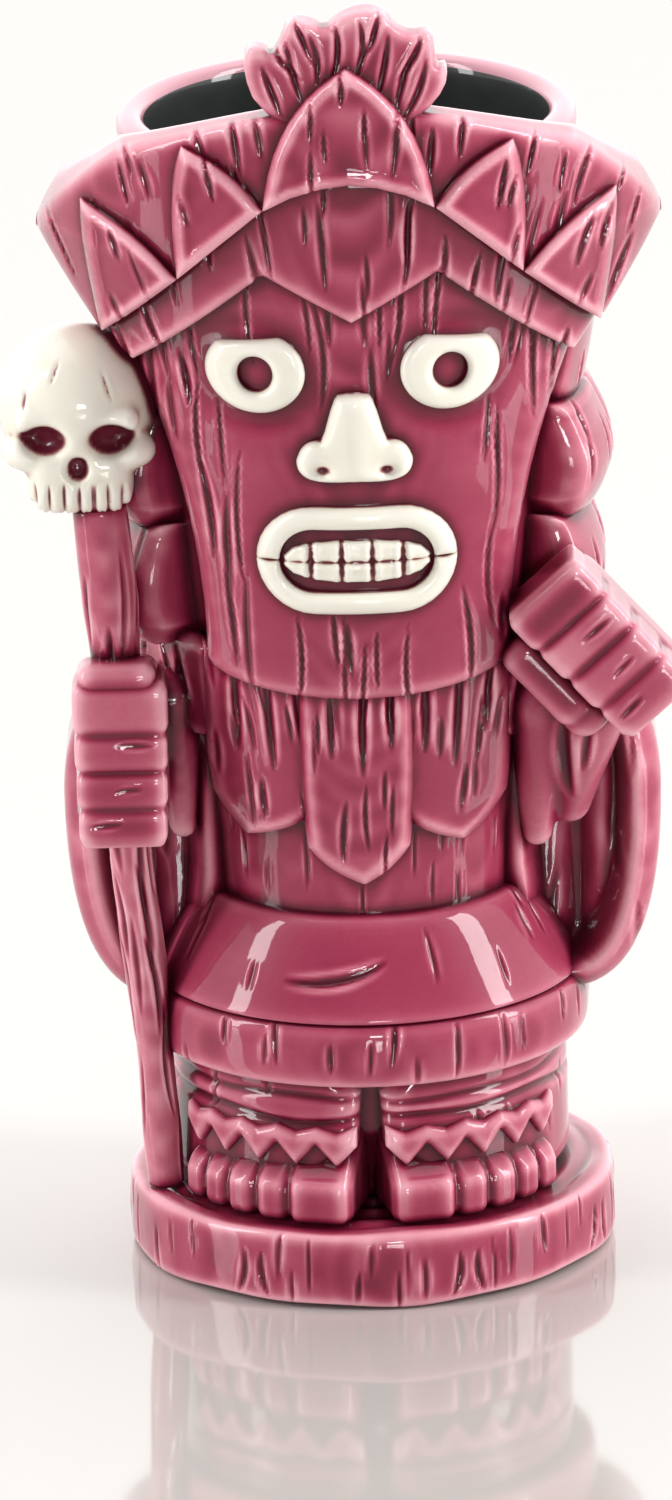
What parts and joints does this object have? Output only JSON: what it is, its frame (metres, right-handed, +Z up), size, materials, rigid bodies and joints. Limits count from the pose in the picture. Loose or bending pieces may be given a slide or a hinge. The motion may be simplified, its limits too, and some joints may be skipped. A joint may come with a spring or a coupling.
{
  "type": "tiki mug",
  "caption": "Tall glazed drinking mug shaped as a masked standing figure with a leaf headdress and a skull staff, on a round log plinth",
  "frame": {"origin": "centre of the plinth's underside, on the table", "axes": "+Z up along the cup's axis, the figure's face looks along -Y, +X is to the right of someone who looks at the face"},
  "size_m": [0.1005, 0.0844, 0.198],
  "materials": {
    "pink_glaze": "glossy translucent raspberry glaze, dark in the grooves and pale on the edges",
    "cream_glaze": "glossy opaque cream glaze",
    "rim_glaze": "glossy pale pink glaze outside and on the lip, glossy charcoal glaze inside"
  },
  "bodies": {
    "root": {"plinth": "pink_glaze", "cup": "rim_glaze", "foot_left": "pink_glaze", "foot_right": "pink_glaze", "leg_left": "pink_glaze", "leg_right": "pink_glaze", "cuff_left": "pink_glaze", "cuff_right": "pink_glaze", "skirt": "pink_glaze", "hem": "pink_glaze", "ruff_leaf_middle": "pink_glaze", "ruff_leaf_left": "pink_glaze", "ruff_leaf_right": "pink_glaze", "ruff_leaf_outer_left": "pink_glaze", "ruff_leaf_outer_right": "pink_glaze", "mask": "pink_glaze", "eye_left": "cream_glaze", "eye_right": "cream_glaze", "nose": "cream_glaze", "upper_lip": "cream_glaze", "lower_lip": "cream_glaze", "teeth": "cream_glaze", "brow_band": "pink_glaze", "fan": "pink_glaze", "fan_leaf_middle": "pink_glaze", "fan_leaf_inner_left": "pink_glaze", "fan_leaf_inner_right": "pink_glaze", "fan_leaf_outer_left": "pink_glaze", "fan_leaf_outer_right": "pink_glaze", "crest": "pink_glaze", "hair_top": "pink_glaze", "hair_middle": "pink_glaze", "hair_low": "pink_glaze", "cape": "pink_glaze", "sleeve_left": "pink_glaze", "sleeve_right": "pink_glaze", "forearm_left": "pink_glaze", "forearm_right": "pink_glaze", "fist_left": "pink_glaze", "fist_right": "pink_glaze", "thumb_left": "pink_glaze", "thumb_right": "pink_glaze", "staff": "pink_glaze", "skull": "cream_glaze"}
  },
  "joints": []
}
